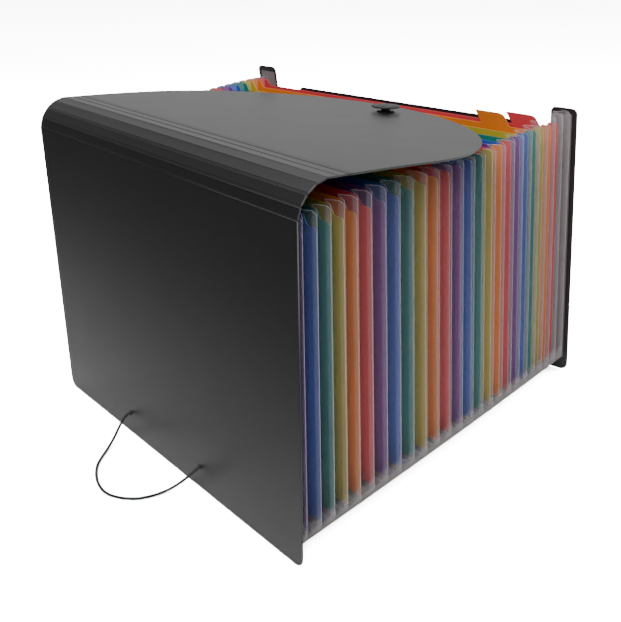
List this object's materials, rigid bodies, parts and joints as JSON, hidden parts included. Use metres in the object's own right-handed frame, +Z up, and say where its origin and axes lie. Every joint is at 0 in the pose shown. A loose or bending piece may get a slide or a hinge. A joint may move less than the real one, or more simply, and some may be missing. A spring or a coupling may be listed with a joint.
{
  "type": "expanding document file",
  "caption": "Expanding desktop document file: two rigid covers joined by frosted side pleats and colour dividers with index tabs, a fold-over flap with a button, and an elastic closing cord.",
  "frame": {"origin": "middle of the back cover's bottom edge", "axes": "+Z up, +X along the cover's width, +Y from the back cover to the front cover"},
  "size_m": [0.3878, 0.4143, 0.25],
  "materials": {
    "cover_plastic": "fine matt grain",
    "black_plastic": "smooth moulded",
    "elastic_cord": "woven elastic",
    "frosted_film": "frosted, see-through",
    "purple_sheet": "translucent, lightly grained",
    "blue_sheet": "translucent, lightly grained",
    "green_sheet": "translucent, lightly grained",
    "yellow_sheet": "translucent, lightly grained",
    "orange_sheet": "translucent, lightly grained",
    "red_sheet": "translucent, lightly grained"
  },
  "bodies": {
    "back_cover": {"back_cover": "cover_plastic", "elastic_cord": "elastic_cord", "cord_barb_left": "black_plastic", "cord_barb_right": "black_plastic", "gusset_01": "frosted_film"},
    "hinge_strip_1": {"hinge_strip_1": "cover_plastic"},
    "hinge_strip_2": {"hinge_strip_2": "cover_plastic"},
    "hinge_strip_3": {"hinge_strip_3": "cover_plastic"},
    "hinge_strip_4": {"hinge_strip_4": "cover_plastic"},
    "flap": {"flap": "cover_plastic", "button": "black_plastic"},
    "divider_01": {"divider_01": "purple_sheet", "gusset_02": "frosted_film"},
    "divider_02": {"divider_02": "blue_sheet", "gusset_03": "frosted_film"},
    "divider_03": {"divider_03": "green_sheet", "gusset_04": "frosted_film"},
    "divider_04": {"divider_04": "yellow_sheet", "gusset_05": "frosted_film"},
    "divider_05": {"divider_05": "orange_sheet", "gusset_06": "frosted_film"},
    "divider_06": {"divider_06": "red_sheet", "gusset_07": "frosted_film"},
    "divider_07": {"divider_07": "purple_sheet", "gusset_08": "frosted_film"},
    "divider_08": {"divider_08": "blue_sheet", "gusset_09": "frosted_film"},
    "divider_09": {"divider_09": "green_sheet", "gusset_10": "frosted_film"},
    "divider_10": {"divider_10": "yellow_sheet", "gusset_11": "frosted_film"},
    "divider_11": {"divider_11": "orange_sheet", "gusset_12": "frosted_film"},
    "divider_12": {"divider_12": "red_sheet", "gusset_13": "frosted_film"},
    "divider_13": {"divider_13": "purple_sheet", "gusset_14": "frosted_film"},
    "divider_14": {"divider_14": "blue_sheet", "gusset_15": "frosted_film"},
    "divider_15": {"divider_15": "green_sheet", "gusset_16": "frosted_film"},
    "divider_16": {"divider_16": "yellow_sheet", "gusset_17": "frosted_film"},
    "divider_17": {"divider_17": "orange_sheet", "gusset_18": "frosted_film"},
    "divider_18": {"divider_18": "red_sheet", "gusset_19": "frosted_film"},
    "divider_19": {"divider_19": "purple_sheet", "gusset_20": "frosted_film"},
    "divider_20": {"divider_20": "blue_sheet", "gusset_21": "frosted_film"},
    "divider_21": {"divider_21": "green_sheet", "gusset_22": "frosted_film"},
    "divider_22": {"divider_22": "yellow_sheet", "gusset_23": "frosted_film"},
    "divider_23": {"divider_23": "orange_sheet", "gusset_24": "frosted_film"},
    "divider_24": {"divider_24": "red_sheet", "gusset_25": "frosted_film"},
    "front_cover": {"front_cover": "cover_plastic"}
  },
  "joints": [
    {"name": "band_line_1", "type": "hinge", "parent": "back_cover", "child": "hinge_strip_1", "pos_m": [0, 0, 0.2295], "axis": [1, 0, 0], "range_deg": [0, 38]},
    {"name": "band_line_2", "type": "hinge", "parent": "hinge_strip_1", "child": "hinge_strip_2", "pos_m": [0, 0.00244, 0.2368], "axis": [1, 0, 0], "range_deg": [0, 38]},
    {"name": "band_line_3", "type": "hinge", "parent": "hinge_strip_2", "child": "hinge_strip_3", "pos_m": [0, 0.00708, 0.24295], "axis": [1, 0, 0], "range_deg": [0, 38]},
    {"name": "band_line_4", "type": "hinge", "parent": "hinge_strip_3", "child": "hinge_strip_4", "pos_m": [0, 0.01342, 0.24731], "axis": [1, 0, 0], "range_deg": [0, 38]},
    {"name": "band_line_5", "type": "hinge", "parent": "hinge_strip_4", "child": "flap", "pos_m": [0, 0.02082, 0.24943], "axis": [1, 0, 0], "range_deg": [0, 38]},
    {"name": "front_cover_close", "type": "hinge", "parent": "back_cover", "child": "front_cover", "pos_m": [-1.40616, -0.12107, 0], "axis": [-0.6707, -0.1383, -0.7288], "range_deg": [0, 15.86], "deforming": ["gusset_25"]},
    {"name": "divider_01_close", "type": "hinge", "parent": "back_cover", "child": "divider_01", "pos_m": [-0.9173, -0.21912, 0], "axis": [-0.6762, -0.0716, -0.7332], "range_deg": [0, 0.6134], "deforming": ["gusset_01"]},
    {"name": "divider_02_close", "type": "hinge", "parent": "back_cover", "child": "divider_02", "pos_m": [-1.13849, -0.21534, 0], "axis": [-0.676, -0.0742, -0.7331], "range_deg": [0, 1.2], "deforming": ["gusset_02"]},
    {"name": "divider_03_close", "type": "hinge", "parent": "back_cover", "child": "divider_03", "pos_m": [-1.21362, -0.21161, 0], "axis": [-0.6759, -0.0767, -0.733], "range_deg": [0, 1.78], "deforming": ["gusset_03"]},
    {"name": "divider_04_close", "type": "hinge", "parent": "back_cover", "child": "divider_04", "pos_m": [-1.25341, -0.20784, 0], "axis": [-0.6757, -0.0792, -0.7329], "range_deg": [0, 2.36], "deforming": ["gusset_04"]},
    {"name": "divider_05_close", "type": "hinge", "parent": "back_cover", "child": "divider_05", "pos_m": [-1.27981, -0.204, 0], "axis": [-0.6756, -0.0818, -0.7328], "range_deg": [0, 2.96], "deforming": ["gusset_05"]},
    {"name": "divider_06_close", "type": "hinge", "parent": "back_cover", "child": "divider_06", "pos_m": [-1.30331, -0.19981, 0], "axis": [-0.6754, -0.0847, -0.7326], "range_deg": [0, 3.62], "deforming": ["gusset_06"]},
    {"name": "divider_07_close", "type": "hinge", "parent": "back_cover", "child": "divider_07", "pos_m": [-1.32095, -0.19555, 0], "axis": [-0.6752, -0.0877, -0.7324], "range_deg": [0, 4.3], "deforming": ["gusset_07"]},
    {"name": "divider_08_close", "type": "hinge", "parent": "back_cover", "child": "divider_08", "pos_m": [-1.33478, -0.19124, 0], "axis": [-0.675, -0.0906, -0.7323], "range_deg": [0, 4.98], "deforming": ["gusset_08"]},
    {"name": "divider_09_close", "type": "hinge", "parent": "back_cover", "child": "divider_09", "pos_m": [-1.34595, -0.1869, 0], "axis": [-0.6747, -0.0937, -0.7321], "range_deg": [0, 5.67], "deforming": ["gusset_09"]},
    {"name": "divider_10_close", "type": "hinge", "parent": "back_cover", "child": "divider_10", "pos_m": [-1.35517, -0.18255, 0], "axis": [-0.6745, -0.0967, -0.7319], "range_deg": [0, 6.37], "deforming": ["gusset_10"]},
    {"name": "divider_11_close", "type": "hinge", "parent": "back_cover", "child": "divider_11", "pos_m": [-1.36288, -0.17819, 0], "axis": [-0.6743, -0.0997, -0.7317], "range_deg": [0, 7.06], "deforming": ["gusset_11"]},
    {"name": "divider_12_close", "type": "hinge", "parent": "back_cover", "child": "divider_12", "pos_m": [-1.36939, -0.17386, 0], "axis": [-0.674, -0.1027, -0.7315], "range_deg": [0, 7.75], "deforming": ["gusset_12"]},
    {"name": "divider_13_close", "type": "hinge", "parent": "back_cover", "child": "divider_13", "pos_m": [-1.37494, -0.16955, 0], "axis": [-0.6738, -0.1057, -0.7313], "range_deg": [0, 8.43], "deforming": ["gusset_13"]},
    {"name": "divider_14_close", "type": "hinge", "parent": "back_cover", "child": "divider_14", "pos_m": [-1.3797, -0.16528, 0], "axis": [-0.6735, -0.1086, -0.7311], "range_deg": [0, 9.1], "deforming": ["gusset_14"]},
    {"name": "divider_15_close", "type": "hinge", "parent": "back_cover", "child": "divider_15", "pos_m": [-1.38379, -0.16106, 0], "axis": [-0.6733, -0.1115, -0.7309], "range_deg": [0, 9.76], "deforming": ["gusset_15"]},
    {"name": "divider_16_close", "type": "hinge", "parent": "back_cover", "child": "divider_16", "pos_m": [-1.38732, -0.15688, 0], "axis": [-0.673, -0.1144, -0.7307], "range_deg": [0, 10.41], "deforming": ["gusset_16"]},
    {"name": "divider_17_close", "type": "hinge", "parent": "back_cover", "child": "divider_17", "pos_m": [-1.3904, -0.15275, 0], "axis": [-0.6728, -0.1172, -0.7305], "range_deg": [0, 11.05], "deforming": ["gusset_17"]},
    {"name": "divider_18_close", "type": "hinge", "parent": "back_cover", "child": "divider_18", "pos_m": [-1.39309, -0.14868, 0], "axis": [-0.6725, -0.1199, -0.7303], "range_deg": [0, 11.68], "deforming": ["gusset_18"]},
    {"name": "divider_19_close", "type": "hinge", "parent": "back_cover", "child": "divider_19", "pos_m": [-1.39547, -0.14465, 0], "axis": [-0.6723, -0.1226, -0.7301], "range_deg": [0, 12.3], "deforming": ["gusset_19"]},
    {"name": "divider_20_close", "type": "hinge", "parent": "back_cover", "child": "divider_20", "pos_m": [-1.39759, -0.14066, 0], "axis": [-0.672, -0.1253, -0.7299], "range_deg": [0, 12.91], "deforming": ["gusset_20"]},
    {"name": "divider_21_close", "type": "hinge", "parent": "back_cover", "child": "divider_21", "pos_m": [-1.39952, -0.1367, 0], "axis": [-0.6717, -0.128, -0.7296], "range_deg": [0, 13.51], "deforming": ["gusset_21"]},
    {"name": "divider_22_close", "type": "hinge", "parent": "back_cover", "child": "divider_22", "pos_m": [-1.4013, -0.13278, 0], "axis": [-0.6715, -0.1306, -0.7294], "range_deg": [0, 14.1], "deforming": ["gusset_22"]},
    {"name": "divider_23_close", "type": "hinge", "parent": "back_cover", "child": "divider_23", "pos_m": [-1.40297, -0.12887, 0], "axis": [-0.6712, -0.1332, -0.7292], "range_deg": [0, 14.69], "deforming": ["gusset_23"]},
    {"name": "divider_24_close", "type": "hinge", "parent": "back_cover", "child": "divider_24", "pos_m": [-1.40458, -0.12497, 0], "axis": [-0.6709, -0.1358, -0.729], "range_deg": [0, 15.28], "deforming": ["gusset_24"]}
  ],
  "couplings": [
    {"joint": "divider_01_close", "follows": "front_cover_close", "ratio": 0.038635},
    {"joint": "divider_02_close", "follows": "front_cover_close", "ratio": 0.075552},
    {"joint": "divider_03_close", "follows": "front_cover_close", "ratio": 0.1119},
    {"joint": "divider_04_close", "follows": "front_cover_close", "ratio": 0.14856},
    {"joint": "divider_05_close", "follows": "front_cover_close", "ratio": 0.18626},
    {"joint": "divider_06_close", "follows": "front_cover_close", "ratio": 0.22809},
    {"joint": "divider_07_close", "follows": "front_cover_close", "ratio": 0.27075},
    {"joint": "divider_08_close", "follows": "front_cover_close", "ratio": 0.314},
    {"joint": "divider_09_close", "follows": "front_cover_close", "ratio": 0.35758},
    {"joint": "divider_10_close", "follows": "front_cover_close", "ratio": 0.40127},
    {"joint": "divider_11_close", "follows": "front_cover_close", "ratio": 0.44487},
    {"joint": "divider_12_close", "follows": "front_cover_close", "ratio": 0.48819},
    {"joint": "divider_13_close", "follows": "front_cover_close", "ratio": 0.53108},
    {"joint": "divider_14_close", "follows": "front_cover_close", "ratio": 0.57342},
    {"joint": "divider_15_close", "follows": "front_cover_close", "ratio": 0.61514},
    {"joint": "divider_16_close", "follows": "front_cover_close", "ratio": 0.65617},
    {"joint": "divider_17_close", "follows": "front_cover_close", "ratio": 0.69651},
    {"joint": "divider_18_close", "follows": "front_cover_close", "ratio": 0.73616},
    {"joint": "divider_19_close", "follows": "front_cover_close", "ratio": 0.77517},
    {"joint": "divider_20_close", "follows": "front_cover_close", "ratio": 0.81358},
    {"joint": "divider_21_close", "follows": "front_cover_close", "ratio": 0.85149},
    {"joint": "divider_22_close", "follows": "front_cover_close", "ratio": 0.88898},
    {"joint": "divider_23_close", "follows": "front_cover_close", "ratio": 0.92616},
    {"joint": "divider_24_close", "follows": "front_cover_close", "ratio": 0.96313}
  ]
}
